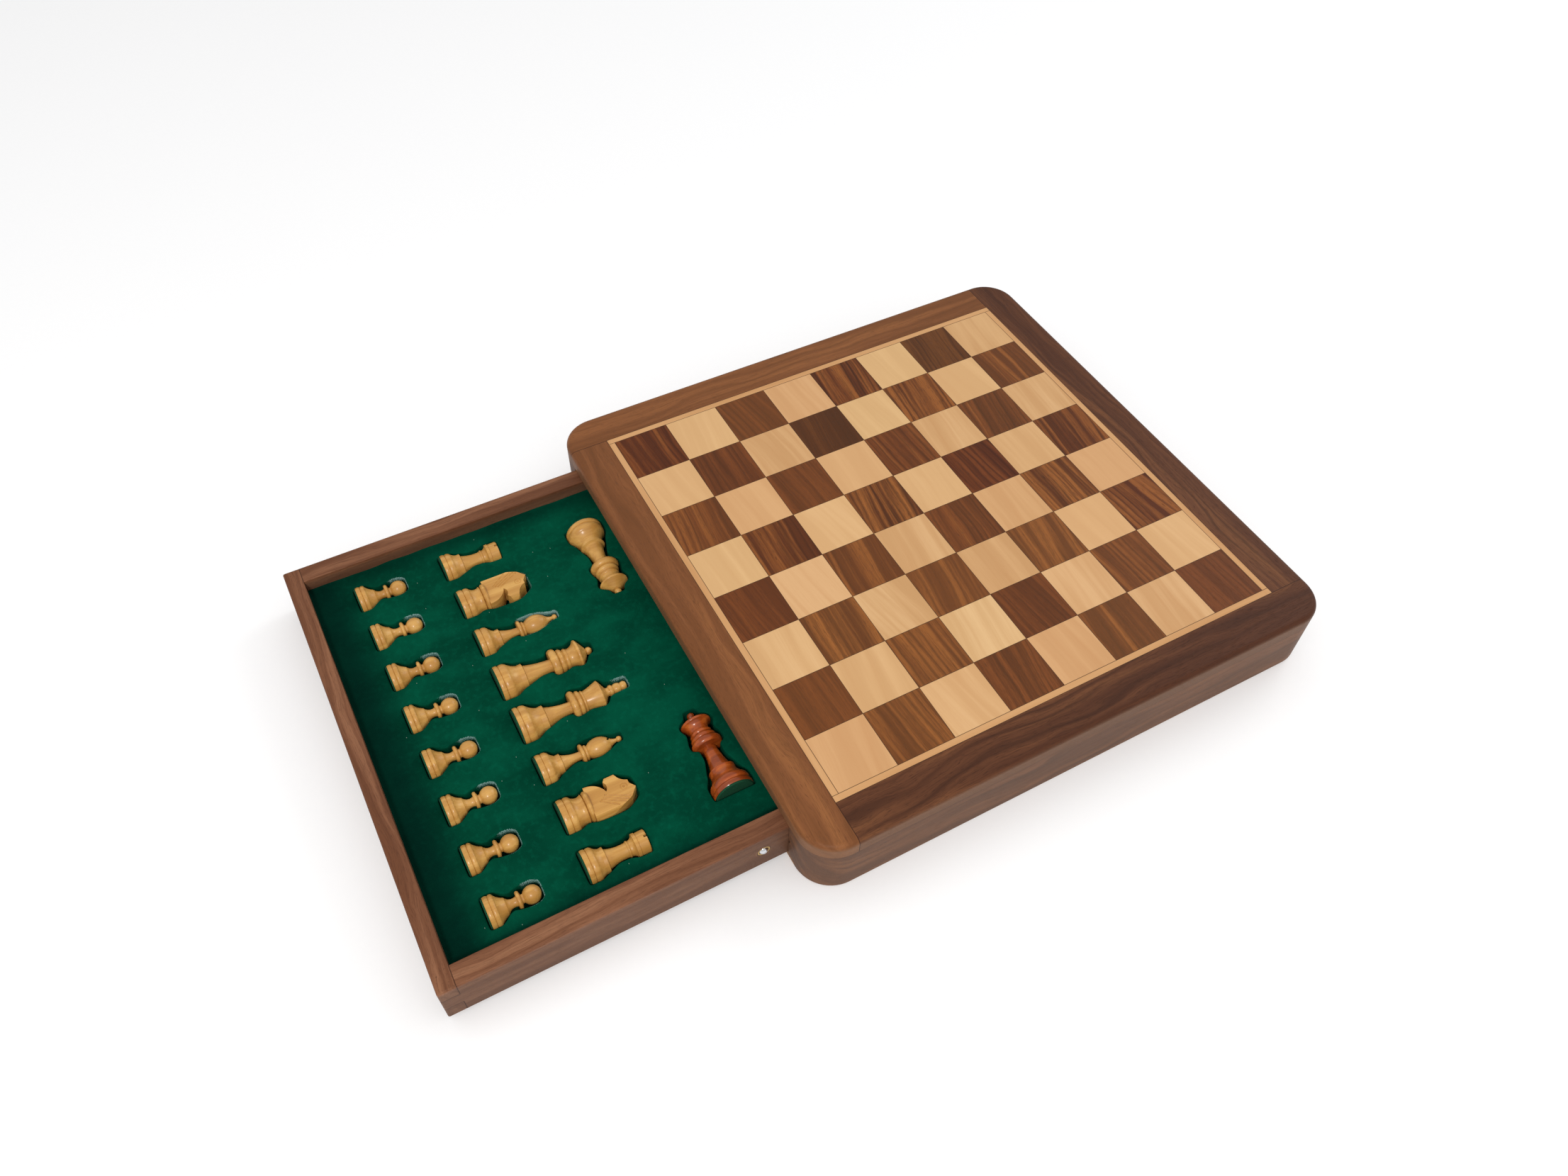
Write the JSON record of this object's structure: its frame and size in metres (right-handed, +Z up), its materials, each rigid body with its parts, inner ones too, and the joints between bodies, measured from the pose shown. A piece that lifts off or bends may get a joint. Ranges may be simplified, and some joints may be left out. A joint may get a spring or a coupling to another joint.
{
  "type": "chess set with board",
  "caption": "Travel chess set: an inlaid square board forms the lid of a flat wooden box whose velvet-lined drawer slides out, with turned pieces lying in fitted hollows.",
  "frame": {"origin": "centre of the case's flat underside, drawer not counted", "axes": "+Z up; the drawer opens towards -Y; +X to the right for someone facing the drawer"},
  "size_m": [0.3048, 0.4698, 0.038],
  "materials": {
    "frame_rosewood": "brown rosewood, satin lacquer",
    "case_rosewood": "brown rosewood, satin lacquer",
    "square_rosewood": "dark rosewood, satin lacquer",
    "maple": "pale maple, satin lacquer",
    "drawer_wood": "red-brown hardwood, satin lacquer",
    "panel_wood": "thin plywood, satin",
    "fibreboard": "raw fibreboard, matt",
    "steel": "bare steel, satin",
    "barrel_brass": "turned brass, satin",
    "ball_chrome": "polished steel ball",
    "velvet": "dark green velvet",
    "boxwood": "honey boxwood, satin lacquer",
    "brown_boxwood": "red-brown stained, gloss lacquer"
  },
  "bodies": {
    "case": {"rail_drawer_side": "frame_rosewood", "rail_far": "frame_rosewood", "rail_left": "frame_rosewood", "rail_right": "frame_rosewood", "strip_drawer_side": "maple", "strip_far": "maple", "strip_left": "maple", "strip_right": "maple", "dark_squares": "square_rosewood", "light_squares": "maple", "steel_sheet": "steel", "board_core": "fibreboard", "side_wall_left": "case_rosewood", "side_wall_right": "case_rosewood", "back_wall": "case_rosewood", "bottom_panel": "panel_wood"},
    "drawer": {"drawer_front": "drawer_wood", "drawer_back": "drawer_wood", "drawer_side_left": "drawer_wood", "drawer_side_right": "drawer_wood", "drawer_bottom": "panel_wood", "tray_insert": "fibreboard", "velvet_lining": "velvet", "catch_barrels": "barrel_brass", "catch_spring_left": "steel", "catch_spring_right": "steel", "brown_pawns": "brown_boxwood", "brown_rooks": "brown_boxwood", "brown_knights": "brown_boxwood", "brown_bishops": "brown_boxwood", "brown_queen": "brown_boxwood", "brown_king": "brown_boxwood"},
    "catch_ball_left": {"catch_ball_left": "ball_chrome"},
    "catch_ball_right": {"catch_ball_right": "ball_chrome"},
    "white_pawn_1": {"white_pawn_1": "boxwood"},
    "white_pawn_2": {"white_pawn_2": "boxwood"},
    "white_pawn_3": {"white_pawn_3": "boxwood"},
    "white_pawn_4": {"white_pawn_4": "boxwood"},
    "white_pawn_5": {"white_pawn_5": "boxwood"},
    "white_pawn_6": {"white_pawn_6": "boxwood"},
    "white_pawn_7": {"white_pawn_7": "boxwood"},
    "white_pawn_8": {"white_pawn_8": "boxwood"},
    "white_rook_left": {"white_rook_left": "boxwood"},
    "white_rook_right": {"white_rook_right": "boxwood"},
    "white_knight_left": {"white_knight_left": "boxwood"},
    "white_knight_right": {"white_knight_right": "boxwood"},
    "white_bishop_left": {"white_bishop_left": "boxwood"},
    "white_bishop_right": {"white_bishop_right": "boxwood"},
    "white_queen": {"white_queen": "boxwood"},
    "white_king": {"white_king": "boxwood"},
    "spare_white_queen": {"spare_white_queen": "boxwood"},
    "spare_brown_queen": {"spare_brown_queen": "brown_boxwood"}
  },
  "joints": [
    {"name": "drawer_slide", "type": "slide", "parent": "case", "child": "drawer", "axis": [0, -1, 0], "range_m": [-0.165, 0.075]},
    {"name": "press_ball_left", "type": "slide", "parent": "drawer", "child": "catch_ball_left", "axis": [1, 0, 0], "range_m": [0, 0.0012], "stiffness_N_per_m": 500, "springref_m": -0.002, "deforming": ["catch_spring_left"]},
    {"name": "press_ball_right", "type": "slide", "parent": "drawer", "child": "catch_ball_right", "axis": [-1, 0, 0], "range_m": [0, 0.0012], "stiffness_N_per_m": 500, "springref_m": -0.002, "deforming": ["catch_spring_right"]},
    {"name": "lift_white_pawn_1", "type": "slide", "parent": "drawer", "child": "white_pawn_1", "axis": [0, 0, 1], "range_m": [0, 0.06]},
    {"name": "lift_white_pawn_2", "type": "slide", "parent": "drawer", "child": "white_pawn_2", "axis": [0, 0, 1], "range_m": [0, 0.06]},
    {"name": "lift_white_pawn_3", "type": "slide", "parent": "drawer", "child": "white_pawn_3", "axis": [0, 0, 1], "range_m": [0, 0.06]},
    {"name": "lift_white_pawn_4", "type": "slide", "parent": "drawer", "child": "white_pawn_4", "axis": [0, 0, 1], "range_m": [0, 0.06]},
    {"name": "lift_white_pawn_5", "type": "slide", "parent": "drawer", "child": "white_pawn_5", "axis": [0, 0, 1], "range_m": [0, 0.06]},
    {"name": "lift_white_pawn_6", "type": "slide", "parent": "drawer", "child": "white_pawn_6", "axis": [0, 0, 1], "range_m": [0, 0.06]},
    {"name": "lift_white_pawn_7", "type": "slide", "parent": "drawer", "child": "white_pawn_7", "axis": [0, 0, 1], "range_m": [0, 0.06]},
    {"name": "lift_white_pawn_8", "type": "slide", "parent": "drawer", "child": "white_pawn_8", "axis": [0, 0, 1], "range_m": [0, 0.06]},
    {"name": "lift_white_rook_left", "type": "slide", "parent": "drawer", "child": "white_rook_left", "axis": [0, 0, 1], "range_m": [0, 0.06]},
    {"name": "lift_white_rook_right", "type": "slide", "parent": "drawer", "child": "white_rook_right", "axis": [0, 0, 1], "range_m": [0, 0.06]},
    {"name": "lift_white_knight_left", "type": "slide", "parent": "drawer", "child": "white_knight_left", "axis": [0, 0, 1], "range_m": [0, 0.06]},
    {"name": "lift_white_knight_right", "type": "slide", "parent": "drawer", "child": "white_knight_right", "axis": [0, 0, 1], "range_m": [0, 0.06]},
    {"name": "lift_white_bishop_left", "type": "slide", "parent": "drawer", "child": "white_bishop_left", "axis": [0, 0, 1], "range_m": [0, 0.06]},
    {"name": "lift_white_bishop_right", "type": "slide", "parent": "drawer", "child": "white_bishop_right", "axis": [0, 0, 1], "range_m": [0, 0.06]},
    {"name": "lift_white_queen", "type": "slide", "parent": "drawer", "child": "white_queen", "axis": [0, 0, 1], "range_m": [0, 0.06]},
    {"name": "lift_white_king", "type": "slide", "parent": "drawer", "child": "white_king", "axis": [0, 0, 1], "range_m": [0, 0.06]},
    {"name": "lift_spare_white_queen", "type": "slide", "parent": "drawer", "child": "spare_white_queen", "axis": [0, 0, 1], "range_m": [0, 0.06]},
    {"name": "lift_spare_brown_queen", "type": "slide", "parent": "drawer", "child": "spare_brown_queen", "axis": [0, 0, 1], "range_m": [0, 0.06]}
  ]
}
